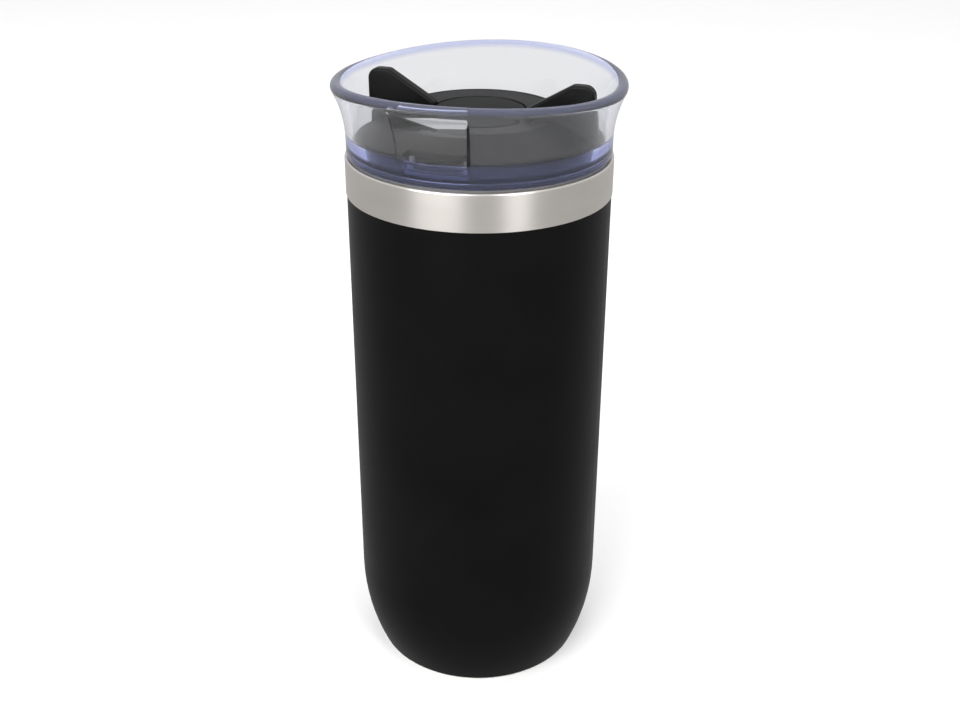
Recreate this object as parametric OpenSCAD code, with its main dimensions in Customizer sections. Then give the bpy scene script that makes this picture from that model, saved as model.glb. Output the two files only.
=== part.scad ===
// Vacuum-insulated tumbler with a clear screw-on drinking collar and a twist plug.
// Millimetres. The origin is the centre of the foot, +Z is up and the spout faces -Y.

/* [Body] */
// Radius of the bare steel band at the mouth
band_r = 38; // [34:0.5:42]
// Height of the steel lip above the table
mouth_z = 163.4; // [140:0.2:190]
// Height of the bare band
band_h = 10.6; // [6:0.1:16]
// How far the coated wall lies inside the band
coat_step = 0.25; // [0.1:0.05:0.4]
// Thickness of the powder coat
coat_t = 0.25; // [0.15:0.05:0.35]
// Thickness of the outer shell
shell_t = 0.7; // [0.6:0.1:1]
// Thickness of the inner liner
liner_t = 0.5; // [0.4:0.1:0.8]
// Gap between shell and liner
vacuum_gap = 2.3; // [1.8:0.1:3]
// Height over which the wall curves in to the foot
foot_arc_h = 27.8; // [20:0.5:36]
// Radius of that curve
foot_arc_r = 66.3; // [56:0.5:90]
// Small radius at the foot's edge
foot_fillet_r = 2; // [1.5:0.1:4]

/* [Collar] */
// Outer radius of the collar above the band
collar_r = 37.5; // [36.5:0.1:38]
// Height at which the lip starts to flare
flare_z = 168; // [166:0.5:172]
// Radius of the flare's curve
flare_r = 32.4; // [28:0.2:44]
// Mean height of the drinking rim
rim_z = 185.3; // [183:0.1:190]
// Rise and fall of the rim about that height
rim_wave = 1.06; // [0.2:0.02:2]
// Thickness of the rounded rim
rim_t = 3; // [2.4:0.1:3.4]
// Height of the ledge that carries the plug
ledge_z = 170; // [169.6:0.1:170.4]
// Radius of the bore that the plug turns in
bore_r = 31.7; // [31.6:0.05:31.8]
// Half angle of the spout pocket
pocket_half_deg = 16; // [12:1:20]
// Shelf of the spout pocket
shelf_z = 169.2; // [168.8:0.1:169.6]
// Floor of the spout's channel, next to the bore
channel_z = 167; // [166:0.1:167.5]

/* [Thread] */
// Number of thread starts
thread_starts = 3; // [2:1:4]
// Rise in one full turn
thread_lead = 12; // [10:1:14]
// Number of lugs along each start
lugs_per_start = 3; // [1:1:3]
// Angle that each lug runs through
lug_deg = 40; // [20:2:42]

/* [Plug] */
// Radius of the flat top
platform_r = 21.8; // [20:0.2:24]
// Height of the flat top
platform_z = 175.8; // [175.2:0.1:176.4]
// Outer radius of the sloped skirt
flange_r = 34.5; // [34.2:0.1:34.6]
// Radius of the round centre cap
cap_r = 12.6; // [10:0.2:13]
// Reach of the wings from the axis
wing_r = 33.2; // [30:0.2:33.6]
// Height of the wings above the flat top
wing_h = 8.9; // [6:0.1:9.5]
// Thickness of the wings
wing_t = 3.6; // [3:0.1:5]

/* [Hidden] */
$fn = 96;
eps = 0.01;

// Body
coat_r = band_r - coat_step;                     // outside of the coat
wall_r = coat_r - coat_t;                        // outside of the coated steel
coat_top_z = mouth_z - band_h;
coat_end_z = 1.2;                                // the foot below this is bare
foot_open_r = 27.5;                              // hole in the shell's underside
lip_h = 0.9;                                     // depth of the rolled lip
neck_r = 36.2;                                   // inside of the threaded neck
neck_bottom_z = 149;
liner_r = wall_r - shell_t - vacuum_gap;         // outside of the liner
liner_base_z = 8;                                // underside of the cup's bottom
liner_seam_r = 24;                               // seam of the liner and its base disc
liner_arc_r = 56;
liner_arc_h = 24;
liner_fillet_r = 4;
foil_t = 0.1;
middle_base_z = 2.8;
dimple_r = 6;
dimple_depth = 1;
vent_hole_r = 0.8;

// Lid heights, from the steel lip up
gasket_gap = 0.05;
gasket_t = 0.5;
gasket_bottom_z = mouth_z - 4.4;
collar_bottom_z = mouth_z + gasket_gap + gasket_t + gasket_gap;
skirt_bottom_z = 152;
skirt_r = 33.9;                                  // outside of the skirt, under its lugs
recess_r = 35.7;                                 // outside of the recess round the skirt
recess_top_z = 165.4;
well_r = 34.9;                                   // inside of the collar at the ledge
pocket_r = 36.2;                                 // outside of the spout pocket at its shelf
pocket_top_r = 38.1;                             // and higher up, inside the lip's flare
pocket_top_z = 185;
channel_r = 33.8;                                // outside of the channel

// Rim: the rounded edge follows a wave that is high at the spout and low at the wings
rim_edge_r = rim_t / 2;
rim_top_z = rim_z + rim_wave;
flare_centre_r = collar_r + flare_r;
rim_outer_r = flare_centre_r - sqrt(pow(flare_r, 2) - pow(rim_z - rim_edge_r - flare_z, 2));
saddle_r = (pow(rim_outer_r, 2)) / (4 * rim_wave);
rim_cap_r = rim_outer_r + 0.9;                   // the lip goes no further out than this
inner_flare_r = 30;
inner_flare_z = 170.5;

// Thread lugs
lug_pitch_deg = 50;                              // from lug to lug along one start
lug_foot_w = 1.9;
lug_crest_w = 0.9;
lug_root = 0.3;                                  // how deep a lug is rooted in its wall
skirt_lug_r = 35.3;
neck_lug_r = 34.7;
skirt_lug_z = 153.8;
neck_lug_z = skirt_lug_z - 2.25;                 // the neck's lugs lie between the skirt's

// Plug
flange_t = 0.8;
flange_seat_z = ledge_z + 0.1;
cover_t = 1.8;
cap_groove = 0.3;
cap_depth = 0.9;
barrel_r = 31.3;
barrel_t = 2.2;
barrel_bottom_z = 149.2;
barrel_top_z = 171;
port_half_deg = 13;
port_bottom_z = 166.6;
vent_half_deg = 3;
gasket_frame = 1.2;
o_ring_r = 0.8;
upper_o_ring_z = 164.2;
lower_o_ring_z = 156;
o_ring_centre_r = bore_r - 0.2 - o_ring_r;
clip_groove_z = 149.8;
clip_groove_h = 1.4;
clip_groove_r = 30.5;
clip_r = 33.2;
wing_foot_r = 13.1;                              // the wings start outside the cap's groove
wing_corner_r = 3;

// A sector of a ring, centred on the spout side and turned by "turn"
module sector(r_in, r_out, z_low, z_high, half_deg, turn = 0) {
    rotate([0, 0, turn - 90 - half_deg])
        rotate_extrude(angle = 2 * half_deg)
            translate([r_in, z_low])
                square([r_out - r_in, z_high - z_low]);
}

// A plain ring of rectangular section
module ring(r_in, r_out, z_low, z_high) {
    rotate_extrude()
        translate([r_in, z_low])
            square([r_out - r_in, z_high - z_low]);
}

// Half outline of a straight-sided cup: a wall, a long curve and a small radius at the foot.
// "inset" moves the whole outline inwards by the same distance everywhere.
module cup_outline(r, base_z, top_z, arc_h, arc_r, fillet_r, inset = 0) {
    arc_centre_z = base_z + arc_h;
    drop = arc_h - fillet_r;
    fillet_centre_r = r - arc_r + sqrt(pow(arc_r - fillet_r, 2) - pow(drop, 2));
    blend_z = arc_centre_z - (arc_r - inset) * drop / (arc_r - fillet_r);
    translate([0, arc_centre_z])
        square([r - inset, top_z - arc_centre_z]);
    intersection() {
        translate([r - arc_r, arc_centre_z])
            circle(arc_r - inset, $fn = 240);
        translate([0, blend_z])
            square([r, arc_centre_z - blend_z + 1]);
    }
    translate([0, base_z + inset])
        square([fillet_centre_r, fillet_r - inset]);
    translate([fillet_centre_r, base_z + fillet_r])
        circle(fillet_r - inset);
}

// The outside of the coated wall, moved inwards by "inset". The bare foot stands at z = 0.
module body_outline(inset, top_z) {
    cup_outline(coat_r, -coat_t, top_z, foot_arc_h, foot_arc_r, foot_fillet_r, inset);
}

// The outside of the liner, moved inwards by "inset"
module liner_outline(inset, top_z) {
    cup_outline(liner_r, liner_base_z, top_z, liner_arc_h, liner_arc_r, liner_fillet_r, inset);
}

// One thread lug, centred on +X: a short arc of trapezium section, tilted to the thread's slope.
// It stands on the wall at foot_r and its crest is at crest_r.
module thread_lug(foot_r, crest_r) {
    slope_deg = atan(thread_lead / (2 * PI * (foot_r + crest_r) / 2));
    rotate([slope_deg, 0, 0])
        rotate([0, 0, -lug_deg / 2])
            rotate_extrude(angle = lug_deg)
                polygon([[foot_r, -lug_foot_w / 2],
                         [crest_r, -lug_crest_w / 2],
                         [crest_r, lug_crest_w / 2],
                         [foot_r, lug_foot_w / 2]]);
}

// An interrupted right-handed thread. low_z is the height of each start's first lug.
module thread(foot_r, crest_r, low_z) {
    for (start = [0:thread_starts - 1])
        for (lug = [0:lugs_per_start - 1])
            rotate([0, 0, start * 360 / thread_starts + lug * lug_pitch_deg])
                translate([0, 0, low_z + thread_lead * lug * lug_pitch_deg / 360])
                    thread_lug(foot_r, crest_r);
}

module outer_shell() {
    color("silver") rotate_extrude() {
        difference() {
            body_outline(coat_t, coat_top_z + 1);
            body_outline(coat_t + shell_t, coat_top_z + 2);
            square([foot_open_r, middle_base_z]);
        }
        // bare band with eased edges, and the lip rolled in over the liner
        difference() {
            translate([wall_r - shell_t, coat_top_z])
                square([band_r - wall_r + shell_t, band_h]);
            translate([band_r - 0.6, mouth_z - 0.6])
                difference() {
                    square(1);
                    circle(0.6);
                }
        }
        translate([neck_r + 0.3, mouth_z - lip_h])
            square([band_r - neck_r - 1, lip_h]);
        translate([neck_r + lip_h / 2, mouth_z - lip_h / 2])
            circle(lip_h / 2);
    }
}

module powder_coat() {
    color("#18191b") rotate_extrude()
        difference() {
            body_outline(0, coat_top_z);
            body_outline(coat_t, coat_top_z + eps);
            translate([0, coat_end_z - foot_arc_h])
                square([coat_r, foot_arc_h]);
        }
}

module inner_liner() {
    neck_top_z = mouth_z - lip_h;
    shoulder_h = 2.4;
    color("gainsboro") union() {
        rotate_extrude() {
            difference() {
                liner_outline(0, neck_bottom_z - shoulder_h);
                liner_outline(liner_t, neck_bottom_z);
                square([liner_seam_r, liner_base_z + liner_fillet_r]);
            }
            // shoulder between the wall and the wider neck
            polygon([[liner_r - liner_t, neck_bottom_z - shoulder_h],
                     [liner_r, neck_bottom_z - shoulder_h],
                     [neck_r + liner_t, neck_bottom_z],
                     [neck_r, neck_bottom_z]]);
            translate([neck_r, neck_bottom_z - eps])
                square([liner_t, neck_top_z - neck_bottom_z + eps]);
        }
        thread(neck_r + lug_root, neck_lug_r, neck_lug_z);
    }
}

// Bottom of the cup, dished upwards a little in the middle
module inner_base() {
    dish_r = 220;
    dish_z = liner_base_z - sqrt(pow(dish_r, 2) - pow(liner_seam_r, 2));
    color("gainsboro") rotate_extrude()
        intersection() {
            difference() {
                translate([0, dish_z])
                    circle(dish_r + liner_t, $fn = 360);
                translate([0, dish_z])
                    circle(dish_r, $fn = 360);
            }
            translate([0, liner_base_z - 1])
                square([liner_seam_r, 6]);
        }
}

// Vacuum-tight bottom of the shell, with the dimple that holds the solder bead
module middle_base() {
    color("silver") rotate_extrude()
        difference() {
            union() {
                translate([0, middle_base_z])
                    square([foot_open_r + 1.6, shell_t]);
                translate([0, middle_base_z])
                    square([dimple_r + shell_t, dimple_depth + shell_t]);
            }
            translate([0, middle_base_z - 1])
                square([dimple_r, dimple_depth + 1]);
            square([vent_hole_r, 10]);
        }
}

module outer_base() {
    color("silver") rotate_extrude() {
        difference() {
            translate([0, 0.9])
                square([foot_open_r - 0.1, shell_t]);
            translate([0, 0])
                square([foot_open_r - 6, 1.2]);
        }
        translate([0, 1.2])
            square([foot_open_r - 5.5, shell_t]);
    }
}

module getter() {
    getter_r = 4.5;
    getter_x = 15;
    color("dimgray") translate([getter_x, 0, middle_base_z + shell_t])
        rotate_extrude() {
            square([getter_r, 1]);
            square([getter_r - 1, 1.5]);
        }
}

module seal_bead() {
    bead_r = 3.5;
    color("goldenrod") rotate_extrude()
        difference() {
            intersection() {
                translate([0, middle_base_z + dimple_depth])
                    circle(bead_r);
                translate([0, middle_base_z + dimple_depth - 0.8])
                    square([bead_r, 0.8]);
            }
            translate([-1, 0])
                square([1, 20]);
        }
}

// Reflective wrap, just clear of the liner
module copper_foil() {
    foil_clear = 0.15;
    color("#b87333")
        ring(liner_r + foil_clear, liner_r + foil_clear + foil_t,
             liner_base_z + liner_arc_h + 4, neck_bottom_z - 6);
}

// L-shaped ring: a flat flange under the collar and a ribbed wall inside the neck
module lid_gasket() {
    flange_z = mouth_z + gasket_gap;
    wall_in = skirt_r + 0.15;
    wall_out = neck_r - 0.5;
    rib_r = 0.5;
    color("#202224") rotate_extrude() {
        translate([wall_in, gasket_bottom_z])
            square([wall_out - wall_in, flange_z + gasket_t - gasket_bottom_z]);
        translate([wall_in, flange_z])
            square([collar_r - 0.5 - wall_in, gasket_t]);
        for (rib = [0, 1])
            translate([wall_out - 0.2, gasket_bottom_z + 0.9 + 1.7 * rib])
                circle(rib_r);
    }
}

// Half section of the collar, before the rim's wave and the spout pocket are cut
module collar_section() {
    inner_centre_r = well_r + inner_flare_r;
    difference() {
        translate([bore_r, skirt_bottom_z])
            square([8 + collar_r - bore_r, rim_top_z - skirt_bottom_z]);
        // outside: the flare, the straight wall and the skirt
        difference() {
            translate([collar_r, skirt_bottom_z - 1])
                square([20, 60]);
            translate([0, flare_z])
                difference() {
                    square([60, 60]);
                    translate([flare_centre_r, 0])
                        circle(flare_r, $fn = 240);
                }
        }
        translate([rim_cap_r, flare_z])
            square([20, 60]);
        translate([skirt_r, skirt_bottom_z - 1])
            square([20, collar_bottom_z - skirt_bottom_z + 1]);
        translate([skirt_r, skirt_bottom_z])
            square([recess_r - skirt_r, recess_top_z - skirt_bottom_z]);
        translate([collar_r - 0.5, collar_bottom_z + 0.5])
            rotate([0, 0, -90])
                difference() {
                    square(2);
                    circle(0.5);
                }
        // inside: the well above the ledge and the flare of its wall
        translate([0, ledge_z])
            square([well_r, 60]);
        translate([0, inner_flare_z])
            difference() {
                square([inner_centre_r, 60]);
                translate([inner_centre_r, 0])
                    circle(inner_flare_r, $fn = 240);
            }
    }
}

// Everything under the wave of the rim: a large barrel lying along the spout's direction
module under_wave(drop = 0) {
    translate([0, 60, rim_top_z - saddle_r - drop])
        rotate([90, 0, 0])
            cylinder(r = saddle_r, h = 120, $fn = 720);
}

// The wall behind the spout is hollowed from the shelf up to the lip. The channel between the
// shelf and the bore takes the drink from the plug's port.
module spout_pocket() {
    rotate([0, 0, -90 - pocket_half_deg])
        rotate_extrude(angle = 2 * pocket_half_deg)
            polygon([[bore_r - 2, channel_z], [channel_r, channel_z],
                     [channel_r, shelf_z], [pocket_r, shelf_z],
                     [pocket_top_r, pocket_top_z], [bore_r - 2, pocket_top_z]]);
}

// Small notch that lets air in opposite the spout
module vent_notch() {
    sector(bore_r - 1, bore_r + 1.4, port_bottom_z + 1, ledge_z + 1, vent_half_deg + 1, 180);
}

module collar() {
    color([0.75, 0.8, 0.95, 0.45]) union() {
        difference() {
            intersection() {
                rotate_extrude(convexity = 6)
                    collar_section();
                under_wave();
            }
            spout_pocket();
            vent_notch();
        }
        thread(skirt_r - lug_root, skirt_lug_r, skirt_lug_z);
    }
}

// Slope of the cover from the flat top to the edge of the flange
module cover_section() {
    edge_z = flange_seat_z + flange_t;
    difference() {
        polygon([[0, platform_z], [platform_r, platform_z], [flange_r, edge_z],
                 [flange_r, flange_seat_z], [barrel_r - barrel_t, flange_seat_z + 0.4],
                 [platform_r, platform_z - cover_t], [0, platform_z - cover_t]]);
        translate([0, platform_z - cap_depth])
            square([cap_r + cap_groove, 2]);
        // seat for the barrel
        translate([barrel_r - barrel_t - 0.05, 0])
            square([barrel_t + 0.1, barrel_top_z + 0.05]);
    }
}

// One upright wing: a plate with a sloping top and rounded corners
module wing() {
    foot_z = flange_seat_z + 0.6;
    tip_z = platform_z + wing_h;
    tip_in = wing_r - 8.5;
    rotate([90, 0, 0])
        translate([0, 0, -wing_t / 2])
            linear_extrude(wing_t)
                union() {
                    polygon([[wing_foot_r, platform_z - 0.4],
                             [wing_foot_r, platform_z + 0.6],
                             [tip_in + 1.2, tip_z - 0.3],
                             [wing_r - wing_corner_r, tip_z - wing_corner_r],
                             [wing_r, tip_z - wing_corner_r],
                             [wing_r, foot_z],
                             [platform_r, platform_z - 0.4]]);
                    translate([wing_r - wing_corner_r, tip_z - wing_corner_r])
                        circle(wing_corner_r);
                    translate([tip_in + wing_corner_r, tip_z - wing_corner_r])
                        circle(wing_corner_r);
                    translate([tip_in + wing_corner_r, tip_z - 2 * wing_corner_r])
                        square([8.5 - 2 * wing_corner_r, 2 * wing_corner_r]);
                }
}

module plug_cover() {
    color("#17181a") difference() {
        union() {
            rotate_extrude()
                cover_section();
            wing();
            rotate([0, 0, 180])
                wing();
        }
        // the flange is notched over the spout pocket, outside the barrel
        sector(bore_r, flange_r + 1, flange_seat_z - 1, platform_z, pocket_half_deg - 1);
    }
}

module centre_cap() {
    color("#202124") rotate_extrude() {
        translate([0, platform_z - cap_depth + 0.02])
            square([cap_r - 0.4, cap_depth]);
        translate([0, platform_z - cap_depth + 0.02])
            square([cap_r, cap_depth - 0.4]);
        translate([cap_r - 0.4, platform_z - 0.38])
            circle(0.4);
    }
}

module plug_core() {
    color("#17181a") difference() {
        ring(barrel_r - barrel_t, barrel_r, barrel_bottom_z, barrel_top_z);
        rotate_extrude() {
            translate([o_ring_centre_r, upper_o_ring_z])
                circle(o_ring_r + 0.03);
            translate([o_ring_centre_r, lower_o_ring_z])
                circle(o_ring_r + 0.03);
            translate([clip_groove_r, clip_groove_z])
                square([5, clip_groove_h]);
        }
        // drinking port and vent, both open to the cover above
        sector(barrel_r - 5, barrel_r + 1, port_bottom_z, barrel_top_z + 1, port_half_deg);
        sector(barrel_r - 5, barrel_r + 1, port_bottom_z + 1, barrel_top_z + 1, vent_half_deg, 180);
        // rebate for the port's gasket
        sector(barrel_r - 0.7, barrel_r + 1, port_bottom_z - gasket_frame, barrel_top_z + 1,
               port_half_deg + 2.2);
    }
}

// Frame of silicone on the sides and the foot of the drinking port
module port_gasket() {
    color("#2c2e31") difference() {
        sector(barrel_r - 0.68, barrel_r + 0.15, port_bottom_z - gasket_frame + 0.02,
               barrel_top_z - 1.1, port_half_deg + 2.16);
        sector(barrel_r - 2, barrel_r + 2, port_bottom_z, barrel_top_z + 1, port_half_deg);
    }
}

module o_ring(z) {
    color("#2c2e31") rotate_extrude()
        translate([o_ring_centre_r, z])
            circle(o_ring_r, $fn = 48);
}

module upper_o_ring() {
    o_ring(upper_o_ring_z);
}

module lower_o_ring() {
    o_ring(lower_o_ring_z);
}

// Snap ring in the barrel's groove, under the skirt
module retaining_ring() {
    gap_half_deg = 9;
    color("#d8d9dc") difference() {
        ring(clip_groove_r + 0.02, clip_r, clip_groove_z + 0.02, clip_groove_z + clip_groove_h - 0.02);
        sector(clip_groove_r - 1, clip_r + 1, clip_groove_z - 1, clip_groove_z + 4, gap_half_deg, 180);
    }
}

outer_shell();
powder_coat();
inner_liner();
inner_base();
middle_base();
outer_base();
getter();
seal_bead();
copper_foil();
lid_gasket();
collar();
plug_cover();
centre_cap();
plug_core();
port_gasket();
upper_o_ring();
lower_o_ring();
retaining_ring();
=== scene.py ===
import math

import bmesh
import bpy
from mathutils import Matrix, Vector


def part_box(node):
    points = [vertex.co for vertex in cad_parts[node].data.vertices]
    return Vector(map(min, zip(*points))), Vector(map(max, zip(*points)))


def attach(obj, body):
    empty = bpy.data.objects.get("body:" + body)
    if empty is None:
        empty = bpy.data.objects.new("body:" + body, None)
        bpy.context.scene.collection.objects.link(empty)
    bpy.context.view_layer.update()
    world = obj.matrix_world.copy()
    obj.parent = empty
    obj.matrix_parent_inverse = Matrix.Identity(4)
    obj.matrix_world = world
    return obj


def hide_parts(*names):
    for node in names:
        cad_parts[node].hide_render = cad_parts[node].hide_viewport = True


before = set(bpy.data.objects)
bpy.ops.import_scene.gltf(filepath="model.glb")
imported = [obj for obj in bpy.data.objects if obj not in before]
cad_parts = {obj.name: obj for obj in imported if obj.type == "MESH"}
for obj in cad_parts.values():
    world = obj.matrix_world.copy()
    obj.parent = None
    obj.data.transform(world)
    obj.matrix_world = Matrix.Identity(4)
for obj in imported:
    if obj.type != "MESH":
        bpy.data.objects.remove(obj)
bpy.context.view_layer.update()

# ------------------------------------------------------------------ sizes
# Lengths in this section and in the outlines are millimetres. They become metres in make_mesh().
MM = 0.001


def top_of(node):
    """Height of a CAD node's highest point."""
    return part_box(node)[1].z / MM


def radius_of(node):
    """Reach of a CAD node along +X."""
    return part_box(node)[1].x / MM


# Collar
SKIRT_BOTTOM_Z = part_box("collar")[0].z / MM
COLLAR_BOTTOM_Z = top_of("lid_gasket") + 0.05
COLLAR_R = radius_of("lid_gasket") + 0.5
FLARE_Z = 168.0
FLARE_R = 32.4
OUTLINE_START_Z = FLARE_Z - 2       # on the straight outer wall
INNER_FLARE_Z = 170.5
INNER_FLARE_R = 30.0
WELL_R = 34.9
LEDGE_Z = 170.0
BORE_R = 31.7
SKIRT_R = 33.9
RECESS_R = 35.7
RECESS_TOP_Z = 165.4
RIM_WAVE = 1.06
RIM_EDGE_R = 1.5
RIM_CENTRE_Z = top_of("collar") - RIM_WAVE - RIM_EDGE_R
BORE_EDGE_R = 32.4                  # where the bore's edge begins to round
BORE_UPPER_Z = LEDGE_Z - 1.2
BORE_LOWER_Z = LEDGE_Z - 3.8
WALL_FOOT_H = 0.5                   # the lip's inner wall ends this far over the ledge
POCKET_R = 36.2
POCKET_SLOPE = 0.12
POCKET_FOOT_H = 1.5                 # the same over the pocket's shelf, for a larger round
SHELF_Z = 169.2
CHANNEL_R = 33.8
CHANNEL_Z = 167.0
POCKET_HALF_DEG = 16.0
POCKET_SOFT_DEG = 0.7
VENT_R = 33.1
VENT_Z = 167.6
VENT_HALF_DEG = 4.0
VENT_SOFT_DEG = 0.5

# Spacing of the lathe's columns
COLUMN_DEG = 1.5
FINE_COLUMN_DEG = 0.2

# Thread lugs on the collar's skirt. No lug may end on a column of the lathe.
THREAD_STARTS = 3
THREAD_LEAD = 12.0
LUGS_PER_START = 3
LUG_DEG = 39.8
LUG_PITCH_DEG = 50.0
LUG_FOOT_W = 1.9
LUG_CREST_W = 0.9
LUG_CREST_R = 35.3
LUG_END_H = 0.1                     # what is left of a lug's height at its tapered ends
LUG_ROOT = 0.5                      # how deep a lug is rooted in the skirt
LUG_ROUND = 0.15                    # rounding of the crest's edges
LUG_TAPER = 0.14                    # share of a lug's length that each tapered end takes
LUG_Z = 153.8

# Plug cover
PLATFORM_R = 21.8
PLATFORM_Z = top_of("centre_cap") - 0.02
FLANGE_R = 34.5
FLANGE_SEAT_Z = LEDGE_Z + 0.1
FLANGE_T = 0.8
COVER_T = 1.8
CAP_RECESS_R = radius_of("centre_cap") + 0.5
CAP_RECESS_DEPTH = 0.9
CAP_SEAT_R = CAP_RECESS_R - 0.8
CAP_GROOVE_Z = PLATFORM_Z - 1.45
GROOVE_INSET = 0.7                  # fine groove inside the edge of the flat top
GROOVE_W = 0.3
GROOVE_DEPTH = 0.25
BARREL_R = radius_of("plug_core")
BARREL_T = 2.2
BARREL_TOP_Z = top_of("plug_core")
BARREL_GAP = 0.05                   # all round the barrel's end in the cover's groove
NOTCH_HALF_DEG = POCKET_HALF_DEG - 1
NOTCH_SOFT_DEG = 0.4
WING_R = 33.2
WING_FOOT_R = 13.1
WING_TOP_Z = top_of("plug_cover")
WING_TOP_W = 8.5
WING_CORNER_R = 3.0
WING_T = 3.6
WING_BEVEL = 1.1
WING_SINK = 0.5                     # how deep the wing is rooted in the flat top

# Camera. The azimuth is 0 on the spout side, and the distance is to the aim point on the axis.
VIEW_AZIMUTH_DEG = 20.3
VIEW_PITCH_DEG = 26.18
VIEW_ROLL_DEG = 0.16
VIEW_DISTANCE = 0.380               # metres, as is the aim point's height
AIM_Z = 0.0976
LENS_MM = 46.56
VIEW_SHIFT_X = 0.0012


# ------------------------------------------------------------------ outlines and meshes
def smooth_step(low, high, value):
    """0 below low, 1 above high, and a smooth rise between them."""
    t = min(max((value - low) / (high - low), 0.0), 1.0)
    return t * t * (3 - 2 * t)


def mix_points(first, second, share):
    """Points that lie the given share of the way from the first list to the second."""
    return [(a[0] + (b[0] - a[0]) * share, a[1] + (b[1] - a[1]) * share)
            for a, b in zip(first, second)]


def rounded(corners, steps=4):
    """Outline through (r, z, radius) corners, each one rounded by a short curve of steps + 1 points."""
    points = []
    for before, corner, after in zip(corners, corners[1:], corners[2:]):
        here = Vector(corner[:2])
        back = Vector(before[:2]) - here
        ahead = Vector(after[:2]) - here
        start = here + back.normalized() * min(corner[2], back.length * 0.45)
        end = here + ahead.normalized() * min(corner[2], ahead.length * 0.45)
        for k in range(steps + 1):
            t = k / steps
            point = start * (1 - t) ** 2 + here * 2 * t * (1 - t) + end * t ** 2
            points.append((point.x, point.y))
    return points


def make_mesh(name, points, faces):
    """A mesh object from points in millimetres, with outward normals and smooth shading."""
    mesh = bpy.data.meshes.new(name)
    mesh.from_pydata([(x * MM, y * MM, z * MM) for x, y, z in points], [], faces)
    shaped = bmesh.new()
    shaped.from_mesh(mesh)
    bmesh.ops.remove_doubles(shaped, verts=shaped.verts, dist=1e-7)
    bmesh.ops.recalc_face_normals(shaped, faces=shaped.faces)
    shaped.to_mesh(mesh)
    shaped.free()
    mesh.shade_smooth()
    piece = bpy.data.objects.new(name, mesh)
    bpy.context.scene.collection.objects.link(piece)
    return piece


def lathe(name, section, angles, closed):
    """Turns section(angle), a list of (r, z), round the axis. Angle 0 is the spout side, -Y."""
    columns = [section(angle) for angle in angles]
    count = len(columns[0])
    points = []
    for angle, column in zip(angles, columns):
        turn = math.radians(angle)
        points += [(r * math.sin(turn), -r * math.cos(turn), z) for r, z in column]
    faces = []
    for i in range(len(angles)):
        this, following = i * count, (i + 1) % len(angles) * count
        for j in range(count if closed else count - 1):
            k = (j + 1) % count
            faces.append((this + j, following + j, following + k, this + k))
    return make_mesh(name, points, faces)


def columns_round(*fine):
    """Angles of the lathe's columns, which stand closer together in the fine ranges."""
    angles = {round(COLUMN_DEG * k, 3) for k in range(round(360 / COLUMN_DEG))}
    for low, high in fine:
        count = int((high - low) / FINE_COLUMN_DEG) + 1
        angles |= {round(low + FINE_COLUMN_DEG * k, 3) % 360 for k in range(count)}
    return sorted(angles)


def unite(piece, others):
    """Joins closed meshes into one skin, and removes the others."""
    for other in others:
        union = piece.modifiers.new("union", "BOOLEAN")
        union.operation = "UNION"
        union.solver = "EXACT"
        union.object = other
    graph = bpy.context.evaluated_depsgraph_get()
    joined = bpy.data.meshes.new_from_object(piece.evaluated_get(graph))
    piece.modifiers.clear()
    piece.data = joined
    for other in others:
        bpy.data.objects.remove(other)


def keep_edges(piece, angle_deg):
    """Smooth shading that leaves edges sharper than the angle crisp, and large faces flat."""
    piece.data.shade_smooth()
    piece.data.set_sharp_from_angle(angle=math.radians(angle_deg))
    weighted = piece.modifiers.new("weighted normals", "WEIGHTED_NORMAL")
    weighted.keep_sharp = True


# ------------------------------------------------------------------ collar
def outer_wall_r(z):
    """Outside of the collar at a height: straight, then a cove that opens to the rim."""
    rise = max(z - FLARE_Z, 0.0)
    return COLLAR_R + FLARE_R - math.sqrt(FLARE_R ** 2 - rise ** 2)


def inner_wall_r(z):
    """Inside of the collar's lip at a height."""
    rise = max(z - INNER_FLARE_Z, 0.0)
    return WELL_R + INNER_FLARE_R - math.sqrt(INNER_FLARE_R ** 2 - rise ** 2)


def rim_circle(angle):
    """Centre and radius of the rim's rounded edge, tangent to both walls at its waved height."""
    z = RIM_CENTRE_Z + RIM_WAVE * math.cos(2 * math.radians(angle))
    outer = Vector((COLLAR_R + FLARE_R, FLARE_Z))
    inner = Vector((WELL_R + INNER_FLARE_R, INNER_FLARE_Z))
    low, high = inner_wall_r(z), outer_wall_r(z)
    for _ in range(40):
        middle = Vector(((low + high) / 2, z))
        if (outer - middle).length + (inner - middle).length > FLARE_R + INNER_FLARE_R:
            low = middle.x
        else:
            high = middle.x
    radius = (outer - middle).length - FLARE_R
    return middle, radius, (outer - middle).normalized(), (middle - inner).normalized()


def pocket_wall_r(z):
    """Outer wall of the spout pocket at a height. It runs out into the lip's flare."""
    return max(inner_wall_r(z), POCKET_R + POCKET_SLOPE * (z - SHELF_Z))


def lip_outline(angle, inner_end_z, inside_r):
    """The collar's lip from the straight wall up over the rim and down the inside."""
    centre, radius, out_way, in_way = rim_circle(angle)
    outer_top_z = (centre + out_way * radius).y
    inner_top_z = (centre + in_way * radius).y
    points = []
    for k in range(18):
        z = OUTLINE_START_Z + (outer_top_z - OUTLINE_START_Z) * k / 17
        points.append((outer_wall_r(z), z))
    start, end = math.atan2(out_way.y, out_way.x), math.atan2(in_way.y, in_way.x)
    for k in range(1, 14):
        turn = start + (end - start) * k / 14
        points.append((centre.x + radius * math.cos(turn), centre.y + radius * math.sin(turn)))
    for k in range(22):
        z = inner_top_z + (inner_end_z - inner_top_z) * k / 21
        points.append((inside_r(z), z))
    return points


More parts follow.
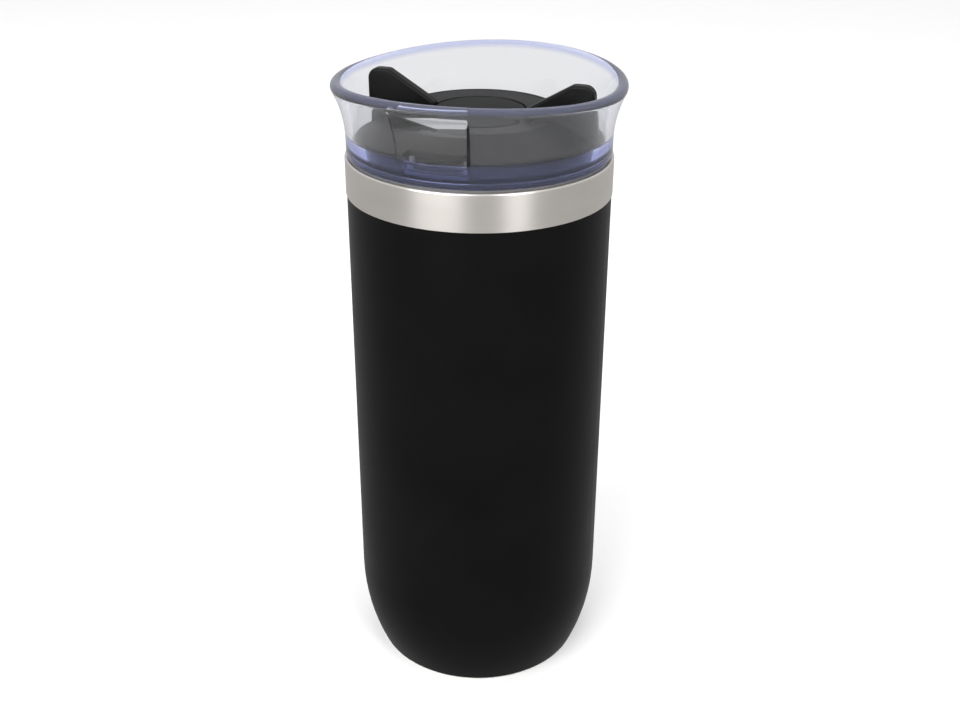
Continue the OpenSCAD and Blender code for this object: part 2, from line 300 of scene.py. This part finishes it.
def collar_inside(wall_end, ledge):
    """The ledge, the bore and the skirt, and back to the foot of the outer wall."""
    skirt = [(BORE_R, SKIRT_BOTTOM_Z, 0.5), (SKIRT_R, SKIRT_BOTTOM_Z, 0.5),
             (SKIRT_R, RECESS_TOP_Z, 0.4), (RECESS_R, RECESS_TOP_Z, 0.7),
             (RECESS_R, COLLAR_BOTTOM_Z, 0.15), (COLLAR_R, COLLAR_BOTTOM_Z, 0.5)]
    return rounded([wall_end] + ledge + skirt + [(COLLAR_R, OUTLINE_START_Z, 0)])


def collar_section(angle):
    """Closed section of the collar. It changes at the spout pocket and at the vent notch.

    All the sections have the same number of corners, so that one runs into the next."""
    turned = (angle + 180) % 360 - 180
    wall_foot_z = LEDGE_Z + WALL_FOOT_H
    pocket_foot_z = SHELF_Z + POCKET_FOOT_H
    plain = lip_outline(angle, wall_foot_z, inner_wall_r) + collar_inside(
        (WELL_R, wall_foot_z, 0),
        [(WELL_R, LEDGE_Z, 0.4), (CHANNEL_R, LEDGE_Z, 0.2), (VENT_R, LEDGE_Z, 0.2),
         (BORE_R, LEDGE_Z, 0.3), (BORE_R, BORE_UPPER_Z, 0.2), (BORE_R, BORE_LOWER_Z, 0.2)])
    pocket_share = 1 - smooth_step(POCKET_HALF_DEG - POCKET_SOFT_DEG,
                                   POCKET_HALF_DEG + POCKET_SOFT_DEG, abs(turned))
    if pocket_share > 0:
        pocket = lip_outline(angle, pocket_foot_z, pocket_wall_r) + collar_inside(
            (POCKET_R, pocket_foot_z, 0),
            [(POCKET_R, SHELF_Z, 1.4), (CHANNEL_R, SHELF_Z, 0.3), (CHANNEL_R, CHANNEL_Z, 0.5),
             (BORE_R, CHANNEL_Z, 0.2), (BORE_R, CHANNEL_Z - 0.4, 0.1), (BORE_R, BORE_LOWER_Z, 0.1)])
        return mix_points(plain, pocket, pocket_share)
    vent_share = 1 - smooth_step(VENT_HALF_DEG - VENT_SOFT_DEG, VENT_HALF_DEG + VENT_SOFT_DEG,
                                 180 - abs(turned))
    if vent_share > 0:
        vent = lip_outline(angle, wall_foot_z, inner_wall_r) + collar_inside(
            (WELL_R, wall_foot_z, 0),
            [(WELL_R, LEDGE_Z, 0.4), (VENT_R, LEDGE_Z, 0.2), (VENT_R, BORE_UPPER_Z, 0.2),
             (VENT_R, VENT_Z, 0.3), (BORE_EDGE_R, VENT_Z, 0.2), (BORE_R, VENT_Z, 0.2)])
        return mix_points(plain, vent, vent_share)
    return plain


def thread_lug(centre_deg, z):
    """One lug of the screw thread, with tapered ends, rooted in the skirt."""
    slope = THREAD_LEAD / 360
    steps = 24
    points, faces = [], []
    for k in range(steps + 1):
        along = LUG_DEG * (k / steps - 0.5)
        full = smooth_step(0, LUG_TAPER, k / steps) * smooth_step(0, LUG_TAPER, 1 - k / steps)
        crest = SKIRT_R + LUG_END_H + (LUG_CREST_R - SKIRT_R - LUG_END_H) * full
        lower = [(SKIRT_R - LUG_ROOT, -LUG_FOOT_W / 2), (SKIRT_R + LUG_END_H / 2, -LUG_FOOT_W / 2),
                 (crest - LUG_ROUND * full, -LUG_CREST_W / 2 - 0.05), (crest, -LUG_CREST_W / 2 + 0.12)]
        ring = lower + [(r, -up) for r, up in reversed(lower)]
        turn = math.radians(centre_deg + along)
        points += [(r * math.cos(turn), r * math.sin(turn), z + up + slope * along)
                   for r, up in ring]
    count = len(ring)
    for k in range(steps):
        for j in range(count):
            n = (j + 1) % count
            faces.append((k * count + j, k * count + n, (k + 1) * count + n, (k + 1) * count + j))
    faces.append(tuple(range(count)))
    faces.append(tuple(steps * count + j for j in range(count)))
    return make_mesh("lug", points, faces)


def build_collar():
    """The clear drinking collar: one moulding with a waved rim, a spout pocket and a thread."""
    edge = POCKET_HALF_DEG
    angles = columns_round((edge - 1, edge + 1), (359 - edge, 361 - edge),
                           (180 - VENT_HALF_DEG - 1, 180 + VENT_HALF_DEG + 1))
    collar = lathe("clear_collar", collar_section, angles, closed=True)
    lugs = [thread_lug(start * 360 / THREAD_STARTS + lug * LUG_PITCH_DEG,
                       LUG_Z + THREAD_LEAD * lug * LUG_PITCH_DEG / 360)
            for start in range(THREAD_STARTS) for lug in range(LUGS_PER_START)]
    unite(collar, lugs)
    keep_edges(collar, 50)
    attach(collar, "collar")
    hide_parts("collar")
    return collar


# ------------------------------------------------------------------ plug cover
def slope_z(r):
    """Top of the cover's sloping skirt at a radius."""
    edge_z = FLANGE_SEAT_Z + FLANGE_T
    return edge_z + (PLATFORM_Z - edge_z) * (FLANGE_R - r) / (FLANGE_R - PLATFORM_R)


def cover_section(angle):
    """Open section of the cover, from the axis on top round the flange to the axis below."""
    turned = (angle + 180) % 360 - 180
    notch_share = 1 - smooth_step(NOTCH_HALF_DEG - NOTCH_SOFT_DEG,
                                  NOTCH_HALF_DEG + NOTCH_SOFT_DEG, abs(turned))
    edge_r = FLANGE_R + (BORE_R - FLANGE_R) * notch_share
    groove_r = PLATFORM_R - GROOVE_INSET
    recess_z = PLATFORM_Z - CAP_RECESS_DEPTH
    seat_in, seat_out = BARREL_R - BARREL_T - BARREL_GAP, BARREL_R + BARREL_GAP
    seat_z = BARREL_TOP_Z + BARREL_GAP
    corners = [(0, recess_z, 0), (CAP_SEAT_R, recess_z, 0.1), (CAP_SEAT_R, CAP_GROOVE_Z, 0.1),
               (CAP_RECESS_R, CAP_GROOVE_Z, 0.1), (CAP_RECESS_R, PLATFORM_Z, 0.2),
               (groove_r - GROOVE_W, PLATFORM_Z, 0.06),
               (groove_r - GROOVE_W / 2, PLATFORM_Z - GROOVE_DEPTH, 0.06),
               (groove_r, PLATFORM_Z, 0.06), (PLATFORM_R, PLATFORM_Z, 0.35),
               (edge_r, slope_z(edge_r), 0.4), (edge_r, FLANGE_SEAT_Z, 0.25),
               (seat_out, FLANGE_SEAT_Z, 0.05), (seat_out, seat_z, 0.05),
               (seat_in, seat_z, 0.05), (seat_in, FLANGE_SEAT_Z + 0.4, 0.05),
               (PLATFORM_R, PLATFORM_Z - COVER_T, 1.0), (0, PLATFORM_Z - COVER_T, 0)]
    return [corners[0][:2]] + rounded(corners, 3) + [corners[-1][:2]]


def wing_outline():
    """Side view of one wing, as (x, z) points."""
    corner_z = WING_TOP_Z - WING_CORNER_R
    inner_x = WING_R - WING_TOP_W + WING_CORNER_R
    outer_x = WING_R - WING_CORNER_R
    points = [(PLATFORM_R, PLATFORM_Z - WING_SINK), (WING_FOOT_R, PLATFORM_Z - WING_SINK),
              (WING_FOOT_R, PLATFORM_Z + 0.5), (WING_FOOT_R + 0.5, PLATFORM_Z + 1.1)]
    slope = math.atan2(corner_z - PLATFORM_Z - 0.6, inner_x - WING_FOOT_R)
    lean = math.degrees(slope) + 90
    for k in range(9):
        turn = math.radians(lean + (90 - lean) * k / 8)
        points.append((inner_x + WING_CORNER_R * math.cos(turn),
                       corner_z + WING_CORNER_R * math.sin(turn)))
    for k in range(9):
        turn = math.radians(90 - 90 * k / 8)
        points.append((outer_x + WING_CORNER_R * math.cos(turn),
                       corner_z + WING_CORNER_R * math.sin(turn)))
    points.append((WING_R, FLANGE_SEAT_Z + 0.6))
    return points


def build_wing(side):
    """One upright wing with softly rounded edges, standing on the cover. side is 1 or -1."""
    outline = wing_outline()
    count = len(outline)
    points = [(side * x, y, z) for y in (-WING_T / 2, WING_T / 2) for x, z in outline]
    faces = [tuple(range(count)), tuple(range(count, 2 * count))]
    faces += [(j, (j + 1) % count, count + (j + 1) % count, count + j) for j in range(count)]
    wing = make_mesh("wing", points, faces)
    shaped = bmesh.new()
    shaped.from_mesh(wing.data)
    rims = [e for e in shaped.edges
            if abs(e.verts[0].co.y - e.verts[1].co.y) < 1e-7]
    bmesh.ops.bevel(shaped, geom=rims, offset=WING_BEVEL * MM, segments=5, profile=0.5,
                    affect="EDGES", clamp_overlap=True)
    shaped.to_mesh(wing.data)
    shaped.free()
    return wing


def build_cover():
    """The plug's cover with its two wings, notched over the spout pocket."""
    edge = NOTCH_HALF_DEG
    angles = columns_round((edge - 1, edge + 1), (359 - edge, 361 - edge))
    cover = lathe("plug_cover_moulding", cover_section, angles, closed=False)
    unite(cover, [build_wing(1), build_wing(-1)])
    keep_edges(cover, 38)
    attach(cover, "plug")
    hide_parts("plug_cover")
    return cover


# ------------------------------------------------------------------ materials
def add_node(tree, kind, inputs=None, **settings):
    """A shader node with the given settings and input values. An input can be another node's output."""
    node = tree.nodes.new(kind)
    for name, value in settings.items():
        setattr(node, name, value)
    for name, value in (inputs or {}).items():
        if isinstance(value, bpy.types.NodeSocket):
            tree.links.new(value, node.inputs[name])
        else:
            node.inputs[name].default_value = value
    return node


def new_material(name, values):
    """A Principled material, with the values set on the shader's own sockets."""
    material = bpy.data.materials.new(name)
    material.use_nodes = True
    tree = material.node_tree
    shader = tree.nodes["Principled BSDF"]
    for socket, value in values.items():
        shader.inputs[socket].default_value = value
    return material, tree, shader


def stretched_noise(tree, stretch, scale, detail=3.0, roughness=0.55):
    """Noise on the object's own coordinates, drawn out by the three stretch factors."""
    place = add_node(tree, "ShaderNodeTexCoord")
    scaled = add_node(tree, "ShaderNodeVectorMath",
                      {0: place.outputs["Object"], 1: stretch}, operation="MULTIPLY")
    return add_node(tree, "ShaderNodeTexNoise",
                    {"Vector": scaled.outputs["Vector"], "Scale": scale, "Detail": detail,
                     "Roughness": roughness}).outputs["Fac"]


def spread(tree, value, low, high, from_low=0.3, from_high=0.7):
    """The value's middle range mapped to low and high."""
    return add_node(tree, "ShaderNodeMapRange",
                    {"Value": value, "From Min": from_low, "From Max": from_high,
                     "To Min": low, "To Max": high}).outputs["Result"]


def vary_colour(tree, shader, value, dark, light, from_low=0.3, from_high=0.7):
    """Base colour between two shades."""
    blend = add_node(tree, "ShaderNodeMix", data_type="RGBA")
    tree.links.new(spread(tree, value, 0.0, 1.0, from_low, from_high), blend.inputs[0])
    blend.inputs[6].default_value = (*dark, 1)
    blend.inputs[7].default_value = (*light, 1)
    tree.links.new(blend.outputs[2], shader.inputs["Base Color"])


def add_bump(tree, shader, value, strength, depth, under=None):
    """Bump from a height value. depth is in metres; under is an earlier bump's normal."""
    bump = add_node(tree, "ShaderNodeBump", {"Height": value, "Strength": strength, "Distance": depth})
    if under is not None:
        tree.links.new(under, bump.inputs["Normal"])
    tree.links.new(bump.outputs["Normal"], shader.inputs["Normal"])
    return bump.outputs["Normal"]


def brushed_steel(name, dark, light, rough_low, rough_high, anisotropy, line_depth):
    """Stainless steel brushed round the axis."""
    material, tree, shader = new_material(name, {
        "Metallic": 1.0, "Anisotropic": anisotropy, "Anisotropic Rotation": 0.25})
    tangent = add_node(tree, "ShaderNodeTangent", direction_type="RADIAL", axis="Z")
    tree.links.new(tangent.outputs["Tangent"], shader.inputs["Tangent"])
    lines = stretched_noise(tree, (1, 1, 60), 90, detail=6.0, roughness=0.7)
    patches = stretched_noise(tree, (1, 1, 2.5), 60)
    vary_colour(tree, shader, patches, dark, light)
    tree.links.new(spread(tree, lines, rough_low, rough_high), shader.inputs["Roughness"])
    add_bump(tree, shader, lines, 0.5, line_depth)
    return material


def powder_coat():
    """Satin black powder coat with a fine orange peel."""
    material, tree, shader = new_material("satin_black_coat", {"IOR": 1.45, "Specular IOR Level": 0.10})
    peel = stretched_noise(tree, (1, 1, 1), 1500, detail=2.0)
    clouds = stretched_noise(tree, (1, 1, 1), 35)
    vary_colour(tree, shader, clouds, (0.0015, 0.0015, 0.0016), (0.0023, 0.0023, 0.0024))
    tree.links.new(spread(tree, clouds, 0.36, 0.42), shader.inputs["Roughness"])
    add_bump(tree, shader, peel, 0.25, 0.00002)
    return material


def moulded_black(name, dark, light, rough_low, rough_high, grain, specular):
    """Black moulded plastic with a fine spark-eroded texture."""
    material, tree, shader = new_material(name, {"IOR": 1.49, "Specular IOR Level": specular})
    texture = stretched_noise(tree, (1, 1, 1), grain, detail=2.0)
    flow = stretched_noise(tree, (1, 1, 1), 60)
    vary_colour(tree, shader, flow, dark, light)
    tree.links.new(spread(tree, flow, rough_low, rough_high), shader.inputs["Roughness"])
    add_bump(tree, shader, texture, 0.3, 0.000025)
    return material


def height_above(tree, wave):
    """Height over the foot, less a wave that is high at the spout and the back and low at the sides."""
    place = add_node(tree, "ShaderNodeTexCoord").outputs["Object"]
    square = add_node(tree, "ShaderNodeVectorMath", {0: place, 1: place}, operation="MULTIPLY")
    squares = add_node(tree, "ShaderNodeSeparateXYZ", {"Vector": square.outputs["Vector"]}).outputs
    difference = add_node(tree, "ShaderNodeMath", {0: squares["Y"], 1: squares["X"]},
                          operation="SUBTRACT")
    total = add_node(tree, "ShaderNodeMath", {0: squares["Y"], 1: squares["X"]})
    ratio = add_node(tree, "ShaderNodeMath", {0: difference.outputs["Value"],
                                              1: total.outputs["Value"]}, operation="DIVIDE")
    height = add_node(tree, "ShaderNodeSeparateXYZ", {"Vector": place}).outputs["Z"]
    return add_node(tree, "ShaderNodeMath", {0: ratio.outputs["Value"], 1: -wave, 2: height},
                    operation="MULTIPLY_ADD").outputs["Value"]


def clear_plastic():
    """Polished clear plastic. Its own faint blue tint comes from the volume absorption. At the rim and
    below the ledge, painted light is added: a violet-blue colour and a milky look that stand in for the
    glow of light passing through the plastic where it is thickest.
    """
    material, tree, shader = new_material("clear_plastic", {"IOR": 1.53})
    # Painted light: masks for the band below the ledge and for the rim, where a violet colour and
    # milkiness are painted on.
    painted_low_band_share = spread(tree, height_above(tree, 0.0), 1.0, 0.0, (LEDGE_Z - 0.4) * MM, LEDGE_Z * MM)
    painted_rim_band_share = spread(tree, height_above(tree, RIM_WAVE * MM), 0.0, 1.0,
                       (RIM_CENTRE_Z - 0.5) * MM, (RIM_CENTRE_Z + 0.7) * MM)
    painted_tint_share = add_node(tree, "ShaderNodeMath", {0: painted_low_band_share, 1: painted_rim_band_share}, operation="MAXIMUM")
    # Painted light: a violet-blue colour on the rim and below the ledge stands in for light passing
    # through the heavy plastic there.
    vary_colour(tree, shader, painted_tint_share.outputs["Value"], (0.85, 0.85, 0.845), (0.46, 0.50, 0.79), 0.0, 1.0)
    # Painted light: less transmission on the band below the ledge and on the rim, a milky brightening
    # that stands in for light in the plastic.
    painted_glow_amount = add_node(tree, "ShaderNodeMath", {0: painted_low_band_share, 1: 0.25, 2: painted_rim_band_share},
                    operation="MULTIPLY_ADD")
    tree.links.new(spread(tree, painted_glow_amount.outputs["Value"], 1.0, 0.80, 0.0, 1.0),
                   shader.inputs["Transmission Weight"])
    waves = stretched_noise(tree, (1, 1, 1), 70, detail=1.0)
    tree.links.new(spread(tree, waves, 0.0, 0.025), shader.inputs["Roughness"])
    add_bump(tree, shader, waves, 0.3, 0.00006)
    absorb = add_node(tree, "ShaderNodeVolumeAbsorption",
                      {"Color": (0.30, 0.35, 0.62, 1), "Density": 34.0})
    tree.links.new(absorb.outputs["Volume"], tree.nodes["Material Output"].inputs["Volume"])
    return material


def rubber(name, shade):
    """Matte silicone with a faint bloom."""
    material, tree, shader = new_material(name, {"IOR": 1.41})
    bloom = stretched_noise(tree, (1, 1, 1), 300)
    vary_colour(tree, shader, bloom, (shade, shade, shade), (shade * 1.3,) * 3)
    tree.links.new(spread(tree, bloom, 0.55, 0.7), shader.inputs["Roughness"])
    add_bump(tree, shader, bloom, 0.2, 0.00003)
    return material


def copper_foil():
    """Bright copper foil with soft creases."""
    material, tree, shader = new_material("copper_foil", {"Metallic": 1.0})
    creases = stretched_noise(tree, (1, 1, 0.4), 160, detail=4.0)
    vary_colour(tree, shader, creases, (0.70, 0.36, 0.22), (0.83, 0.47, 0.31))
    tree.links.new(spread(tree, creases, 0.18, 0.34), shader.inputs["Roughness"])
    add_bump(tree, shader, creases, 0.6, 0.0003)
    return material


def sintered_getter():
    """Dull porous metal."""
    material, tree, shader = new_material("sintered_getter", {"Metallic": 1.0})
    pores = stretched_noise(tree, (1, 1, 1), 2200, detail=4.0)
    vary_colour(tree, shader, pores, (0.20, 0.20, 0.21), (0.42, 0.41, 0.40))
    tree.links.new(spread(tree, pores, 0.5, 0.8), shader.inputs["Roughness"])
    add_bump(tree, shader, pores, 0.8, 0.0001)
    return material


def solder_glass():
    """Amber sealing glass with small bubbles."""
    material, tree, shader = new_material("solder_glass", {"IOR": 1.6})
    bubbles = stretched_noise(tree, (1, 1, 1), 1200)
    vary_colour(tree, shader, bubbles, (0.22, 0.13, 0.04), (0.42, 0.27, 0.10))
    tree.links.new(spread(tree, bubbles, 0.08, 0.2), shader.inputs["Roughness"])
    add_bump(tree, shader, bubbles, 0.3, 0.00005)
    return material


def natural_acetal():
    """Milky natural acetal of the snap ring."""
    material, tree, shader = new_material("natural_acetal", {
        "IOR": 1.48, "Subsurface Weight": 0.15, "Subsurface Scale": 0.001})
    flow = stretched_noise(tree, (1, 1, 3), 120)
    vary_colour(tree, shader, flow, (0.74, 0.74, 0.72), (0.82, 0.82, 0.80))
    tree.links.new(spread(tree, flow, 0.28, 0.36), shader.inputs["Roughness"])
    add_bump(tree, shader, flow, 0.15, 0.00004)
    return material


def pale_floor():
    """Plain white studio floor."""
    material, tree, shader = new_material("pale_floor", {"Roughness": 0.9, "IOR": 1.3})
    tone = stretched_noise(tree, (1, 1, 1), 3)
    vary_colour(tree, shader, tone, (0.90, 0.90, 0.90), (0.91, 0.91, 0.91))
    return material


def paint(node, material):
    """Gives a CAD node its material."""
    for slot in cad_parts[node].material_slots:
        slot.material = material


# ------------------------------------------------------------------ studio
def direction(azimuth_deg, elevation_deg):
    """Unit vector from the object towards an azimuth (0 is -Y, 90 is +X) and an elevation."""
    a, e = math.radians(azimuth_deg), math.radians(elevation_deg)
    return Vector((math.sin(a) * math.cos(e), -math.cos(a) * math.cos(e), math.sin(e)))


def softbox(name, azimuth_deg, elevation_deg, distance, width, height, power, unlit=None):
    """A rectangular light aimed at the lid. The unlit piece is flagged off from it."""
    light = bpy.data.lights.new(name, "AREA")
    light.shape = "RECTANGLE"
    light.size = width
    light.size_y = height
    light.energy = power
    box = bpy.data.objects.new(name, light)
    away = direction(azimuth_deg, elevation_deg)
    box.location = Vector((0, 0, 0.12)) + away * distance
    box.rotation_mode = "QUATERNION"
    box.rotation_quaternion = (-away).to_track_quat("-Z", "Y")
    bpy.context.scene.collection.objects.link(box)
    if unlit is not None:
        flag = bpy.data.collections.new(name + "_flag")
        flag.objects.link(unlit)
        flag.collection_objects[0].light_linking.link_state = "EXCLUDE"
        box.light_linking.receiver_collection = flag


def build_world(low, horizon, high):
    """Soft grey surroundings that brighten upwards."""
    world = bpy.data.worlds.new("studio")
    bpy.context.scene.world = world
    world.use_nodes = True
    tree = world.node_tree
    place = add_node(tree, "ShaderNodeTexCoord")
    height = add_node(tree, "ShaderNodeSeparateXYZ", {"Vector": place.outputs["Generated"]})
    half = spread(tree, height.outputs["Z"], 0.0, 1.0, -1.0, 1.0)
    ramp = add_node(tree, "ShaderNodeValToRGB", {"Fac": half})
    ramp.color_ramp.elements[0].position = 0.3
    ramp.color_ramp.elements[0].color = (low, low, low, 1)
    ramp.color_ramp.elements[1].position = 0.75
    ramp.color_ramp.elements[1].color = (high, high, high, 1)
    middle = ramp.color_ramp.elements.new(0.5)
    middle.color = (horizon, horizon, horizon, 1)
    tree.links.new(ramp.outputs["Color"], tree.nodes["Background"].inputs["Color"])


def build_floor(half_size):
    """A wide floor under the foot. Mirror rays pass it, as on a cut-out product table."""
    mesh = bpy.data.meshes.new("studio_floor")
    corners = [(x, y, 0) for x, y in ((-1, -1), (1, -1), (1, 1), (-1, 1))]
    mesh.from_pydata([(x * half_size, y * half_size, z) for x, y, z in corners], [], [(0, 1, 2, 3)])
    floor = bpy.data.objects.new("studio_floor", mesh)
    bpy.context.scene.collection.objects.link(floor)
    mesh.materials.append(pale_floor())
    floor.visible_glossy = False


def build_camera():
    """The camera, above and to the right of the spout."""
    data = bpy.data.cameras.new("camera")
    data.lens = LENS_MM
    data.sensor_width = 36
    data.shift_x = VIEW_SHIFT_X
    data.clip_start = 0.01
    data.clip_end = 50
    camera = bpy.data.objects.new("camera", data)
    back = direction(VIEW_AZIMUTH_DEG, VIEW_PITCH_DEG)
    camera.location = Vector((0, 0, AIM_Z)) + back * VIEW_DISTANCE
    camera.rotation_euler = (-back).to_track_quat("-Z", "Y").to_euler()
    camera.rotation_euler.rotate_axis("Z", math.radians(VIEW_ROLL_DEG))
    bpy.context.scene.collection.objects.link(camera)
    bpy.context.scene.camera = camera


def build_studio(collar):
    """Camera, lights, surroundings and floor. The side softboxes leave no glare on the collar."""
    build_camera()
    build_world(0.50, 0.60, 0.85)
    build_floor(6)
    softbox("left_strip", VIEW_AZIMUTH_DEG - 34, 25, 1.2, 0.90, 1.0, 15.0, collar)
    softbox("right_strip", VIEW_AZIMUTH_DEG + 31, 25, 1.2, 0.42, 1.0, 8.0, collar)
    softbox("overhead", VIEW_AZIMUTH_DEG + 180, 75, 1.6, 2.4, 2.4, 7.0)
    bpy.context.scene.view_settings.view_transform = "Standard"


# ------------------------------------------------------------------ assembly
steel_band = brushed_steel("brushed_steel_band", (0.67, 0.637, 0.600), (0.71, 0.677, 0.640),
                           0.28, 0.34, 0.75, 0.000008)
steel_liner = brushed_steel("satin_steel_liner", (0.58, 0.57, 0.555), (0.64, 0.63, 0.615),
                            0.30, 0.42, 0.5, 0.00003)
steel_base = brushed_steel("turned_steel_base", (0.56, 0.55, 0.54), (0.63, 0.62, 0.61),
                           0.32, 0.46, 0.4, 0.00003)
steel_hidden = brushed_steel("rolled_steel", (0.48, 0.47, 0.46), (0.55, 0.54, 0.53),
                             0.40, 0.55, 0.2, 0.00003)
black_plastic = moulded_black("satin_black_plastic", (0.0020, 0.0020, 0.0021), (0.0030, 0.0030, 0.0031),
                              0.40, 0.48, 2600, 0.15)
cap_plastic = moulded_black("cap_black_plastic", (0.0028, 0.0028, 0.0029), (0.0038, 0.0038, 0.0039),
                            0.44, 0.52, 3200, 0.09)
silicone = rubber("black_silicone", 0.014)

clear_collar = build_collar()
clear_collar.data.materials.append(clear_plastic())
build_cover().data.materials.append(black_plastic)
build_studio(clear_collar)

paint("outer_shell", steel_band)
paint("powder_coat", powder_coat())
paint("inner_liner", steel_liner)
paint("inner_base", steel_liner)
paint("middle_base", steel_hidden)
paint("outer_base", steel_base)
paint("getter", sintered_getter())
paint("seal_bead", solder_glass())
paint("copper_foil", copper_foil())
paint("centre_cap", cap_plastic)
paint("plug_core", black_plastic)
for ring in ("upper_o_ring", "lower_o_ring"):
    paint(ring, silicone)
paint("lid_gasket", rubber("grey_silicone", 0.09))
paint("port_gasket", rubber("pale_silicone", 0.38))
paint("retaining_ring", natural_acetal())
